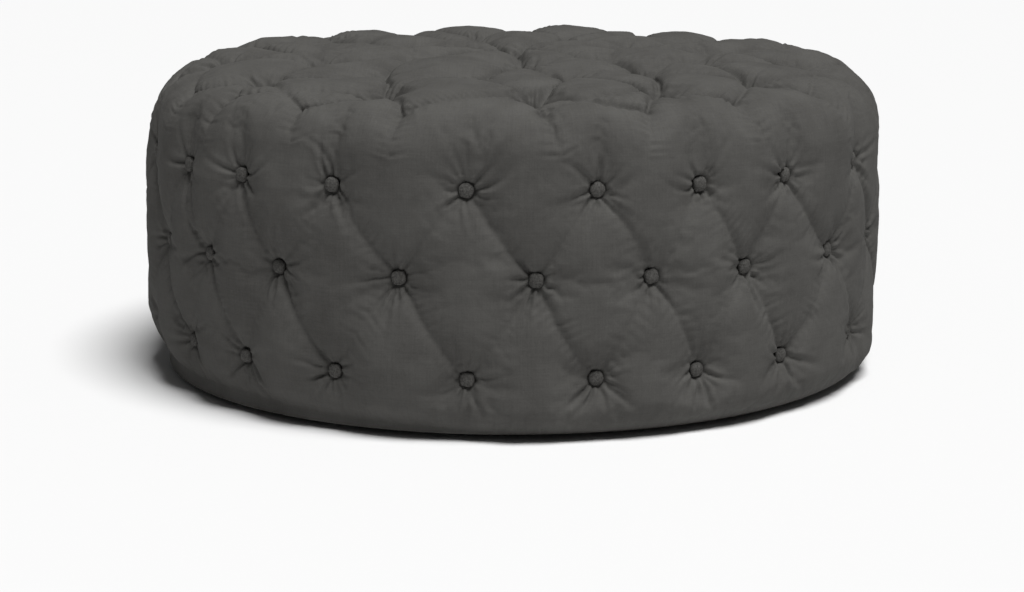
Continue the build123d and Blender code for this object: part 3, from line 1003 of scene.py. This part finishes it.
def linen(name, dark, light, speckle, spread):
    """Charcoal linen-like cloth: plain weave with slubs, mottling and a speckle."""
    mat, tree, shader, obj = surface(name)
    uv_node = tree.nodes.new("ShaderNodeUVMap")
    uv_node.uv_map = "cloth"
    uv = uv_node.outputs[0]
    weave = crossed_waves(tree, scaled(tree, uv, (4189, 4189, 0)))
    threads = crossed_grain(tree, uv, 1300, 40, 0.6)
    slubs = crossed_grain(tree, uv, 420, 14, 0.65)
    mottle = noise_node(tree, obj, 14, 4, 0.6)
    knots = noise_node(tree, obj, 480, 3, 0.75)
    plain = 1 - speckle
    parts = [(threads, 0.28 * plain), (slubs, 0.3 * plain), (mottle, 0.42 * plain)]
    value = mixed(tree, parts + [(weave, 0.02), (knots, speckle)])
    colour = ramp(tree, value, [(0.5 - spread, dark), (0.5 + spread, light)])
    height = mixed(tree, [(weave, 0.2), (threads, 1), (knots, 2.5 * speckle)])
    fine = bump(tree, height, 0.00022, 0.8)
    crumple = noise_node(tree, obj, 55, 4, 0.55, 0.6)
    normal = bump(tree, crumple, 0.0016, 0.42, fine)
    link_shader(tree, shader, colour, slubs, 0.7, 0.25, normal)
    set_inputs(shader, Specular_IOR_Level=0.04)
    return mat


def finished(mat, tree, shader, value, stops, rough, rough_span, relief, strength=0.6):
    """Colour, roughness and relief of a material from one value."""
    normal = bump(tree, value, relief, strength)
    link_shader(tree, shader, ramp(tree, value, stops), value, rough, rough_span, normal)
    return mat


def timber(name, dark, light, stretch, ply=0):
    """Bare wood with long grain and fine pores, and with plies where ply is their thickness."""
    mat, tree, shader, obj = surface(name)
    grain = noise_node(tree, obj, stretch, 6, 0.6, 1.2)
    growth = noise_node(tree, obj, tuple(s * 0.2 for s in stretch), 3, 0.5, 2.5)
    pores = noise_node(tree, obj, tuple(s * 6 for s in stretch), 2, 0.7)
    parts = [(grain, 0.45), (growth, 0.35), (pores, 0.2)]
    if ply:
        height = components(tree, obj)[2]
        layers = math_node(tree, "SINE", math_node(tree, "MULTIPLY", height, whole_turn / ply))
        parts.append((layers, 0.06))
    return finished(mat, tree, shader, mixed(tree, parts), [(0.34, dark), (0.64, light)], 0.5, 0.3, 0.0004)


def foam_cells(name, dark, light):
    """Cream foam with open cells, a little yellowed in patches."""
    mat, tree, shader, obj = surface(name)
    cells = tree.nodes.new("ShaderNodeTexVoronoi")
    set_inputs(cells, Scale=520)
    tree.links.new(obj, cells.inputs["Vector"])
    coarse = noise_node(tree, obj, 6, 3, 0.5)
    fine = noise_node(tree, obj, 900, 2, 0.6)
    value = mixed(tree, [(cells.outputs["Distance"], 0.5), (coarse, 0.4), (fine, 0.2)])
    return finished(mat, tree, shader, value, [(0.25, dark), (0.65, light)], 0.75, 0.2, 0.0006, 0.8)


def pressed_fibre(name, dark, light):
    """Hardboard: pressed fibres, smooth and speckled."""
    mat, tree, shader, obj = surface(name)
    fibres = noise_node(tree, obj, (300, 300, 90), 4, 0.7, 0.8)
    patches = noise_node(tree, obj, 9, 3, 0.5)
    value = mixed(tree, [(fibres, 0.65), (patches, 0.35)])
    return finished(mat, tree, shader, value, [(0.36, dark), (0.64, light)], 0.35, 0.3, 0.0002)


def twisted(name, dark, light):
    """Waxed twine: strands that wind round, with loose fibres."""
    mat, tree, shader, obj = surface(name)
    wave = tree.nodes.new("ShaderNodeTexWave")
    wave.bands_direction = "DIAGONAL"
    set_inputs(wave, Scale=260, Distortion=1.5)
    tree.links.new(obj, wave.inputs["Vector"])
    fibres = noise_node(tree, obj, (2200, 2200, 500), 3, 0.6)
    value = mixed(tree, [(wave.outputs["Fac"], 0.6), (fibres, 0.4)])
    return finished(mat, tree, shader, value, [(0.2, dark), (0.75, light)], 0.45, 0.3, 0.0004, 0.9)


def moulded(name, dark, light, rough):
    """Moulded nylon with a fine eroded grain and faint flow marks."""
    mat, tree, shader, obj = surface(name)
    grain = noise_node(tree, obj, 1600, 3, 0.6)
    flow = noise_node(tree, obj, 45, 2, 0.5, 1.5)
    value = mixed(tree, [(grain, 0.55), (flow, 0.45)])
    set_inputs(shader, Specular_IOR_Level=0.45)
    return finished(mat, tree, shader, value, [(0.3, dark), (0.7, light)], rough, 0.25, 0.0001, 0.5)


def spun_bonded(name, dark, light):
    """Black non-woven cloth: bonded fibres with a pattern of pressed points."""
    mat, tree, shader, obj = surface(name)
    pressed = crossed_waves(tree, scaled(tree, obj, (2100, 2100, 0)))
    fibres = noise_node(tree, obj, (700, 240, 1), 5, 0.7, 2)
    clouds = noise_node(tree, obj, 40, 4, 0.6)
    value = mixed(tree, [(fibres, 0.55), (clouds, 0.35), (pressed, 0.08)])
    return finished(mat, tree, shader, value, [(0.3, dark), (0.65, light)], 0.7, 0.25, 0.0003, 0.7)


def dress(mat, *names):
    """Gives a material to CAD nodes whose names start so."""
    for name, obj in nodes.items():
        if name.startswith(names):
            for slot in obj.material_slots:
                slot.material = mat


linen_cover = linen("charcoal_linen", (0.055, 0.053, 0.05), (0.108, 0.106, 0.1), 0.2, 0.18)
# The buttons wear the same cloth as the cover, but their copy of the linen is darker: painted shade of the
# pits they sit in. Its stronger speckle is the weave's own.
linen_buttons_painted_shade = linen("charcoal_linen_buttons_painted_shade", (0.034, 0.033, 0.031), (0.112, 0.109, 0.103), 0.6, 0.12)
cream = foam_cells("cream_foam", (0.5, 0.42, 0.26), (0.86, 0.8, 0.62))
black = spun_bonded("black_spun_bonded", (0.008, 0.008, 0.008), (0.03, 0.03, 0.031))
plywood = timber("bare_plywood", (0.46, 0.31, 0.17), (0.72, 0.54, 0.34), (8, 110, 110), 0.003)
pine = timber("planed_pine", (0.52, 0.34, 0.18), (0.8, 0.62, 0.4), (120, 120, 7))

foams = [side_foam, top_foam]
soft = ((linen_cover, [cover]), (linen_buttons_painted_shade, button_objects), (cream, foams), (black, [dust_cloth]))
for mat, pieces in soft:
    for obj in pieces:
        obj.data.materials.append(mat)
dress(plywood, "deck_board", "base_ring")
dress(pine, "post_")
dress(pressed_fibre("brown_hardboard", (0.16, 0.09, 0.05), (0.34, 0.21, 0.12)), "liner_panel_")
dress(twisted("waxed_twine", (0.42, 0.37, 0.27), (0.8, 0.76, 0.66)), "button_ties_")
dress(moulded("natural_nylon", (0.62, 0.61, 0.56), (0.82, 0.81, 0.77), 0.3), "tie_toggles_")
dress(moulded("black_nylon", (0.012, 0.012, 0.013), (0.035, 0.035, 0.036), 0.35), "glides")

# Floor
floor_reach = 40.0
floor_mesh = bpy.data.meshes.new("floor")
floor_corners = [(x * floor_reach, y * floor_reach, 0) for x, y in ((-1, -1), (1, -1), (1, 1), (-1, 1))]
floor_mesh.from_pydata(floor_corners, [], [(0, 1, 2, 3)])
floor = placed("floor", floor_mesh)
floor_material, _, floor_shader = material("pale_floor")
set_inputs(floor_shader, Base_Color=(0.77, 0.77, 0.77, 1), Roughness=0.9, Specular_IOR_Level=0.1)
floor.data.materials.append(floor_material)

# Light: even from all round, and a broad soft sun from the upper right
world = bpy.data.worlds.new("studio")
bpy.context.scene.world = world
world.use_nodes = True
set_inputs(world.node_tree.nodes["Background"], Color=(1.0, 1.0, 1.0, 1), Strength=0.074)

sun_direction = Vector((-0.208, 0.257, -0.944))
sun_data = bpy.data.lights.new("softbox", "SUN")
sun_data.energy = 3.98
sun_data.angle = 0.5
sun = placed("softbox", sun_data)
sun.rotation_mode = "QUATERNION"
sun.rotation_quaternion = sun_direction.to_track_quat("-Z", "Y")

# Camera: in front, a little above the top and tilted down
camera_place = (0, -3.0, 0.6941)
camera_tilt = 0.2017
camera_data = bpy.data.cameras.new("camera")
camera_data.sensor_width = 36.0
camera_data.lens = 75.65
camera = placed("camera", camera_data)
camera.location = camera_place
camera.rotation_euler = (math.pi / 2 - camera_tilt, 0, 0)
bpy.context.scene.camera = camera
bpy.context.scene.view_settings.view_transform = "Standard"
